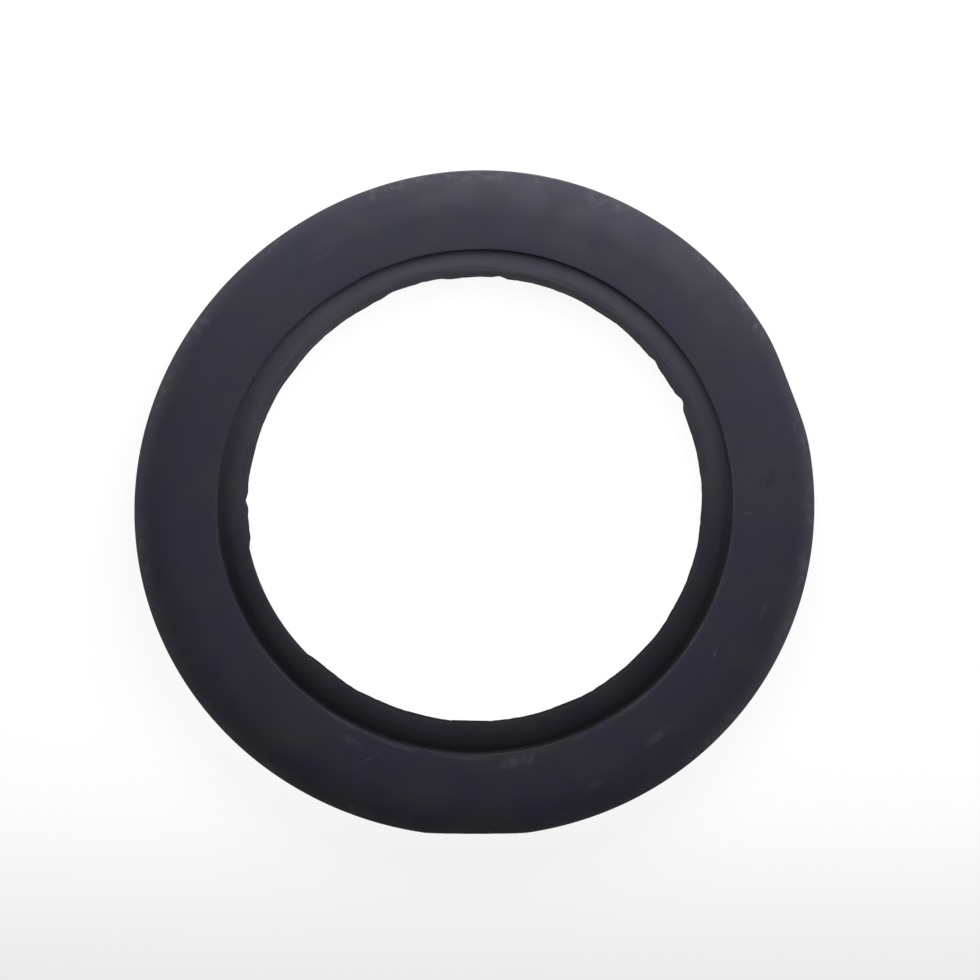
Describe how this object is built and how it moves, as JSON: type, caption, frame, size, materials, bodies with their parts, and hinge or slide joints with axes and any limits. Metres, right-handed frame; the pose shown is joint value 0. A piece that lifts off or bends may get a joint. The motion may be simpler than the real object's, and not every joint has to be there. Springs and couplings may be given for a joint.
{
  "type": "flush valve seal",
  "caption": "Moulded black rubber ring that seals a toilet cistern's flush valve, with a domed face, a recess and a torn flash edge in its bore.",
  "frame": {"origin": "middle of the flat back face, at the foot of the bounding box, on the ring's axis to within 1 mm", "axes": "+Z along the ring's axis, out of the domed face with the recess; -Y towards the small flat on the rim"},
  "size_m": [0.0906, 0.089, 0.01],
  "materials": {
    "rubber": "matte moulded black rubber with a faint violet cast and light scuffs"
  },
  "bodies": {
    "root": {"seal_ring": "rubber"}
  },
  "joints": []
}
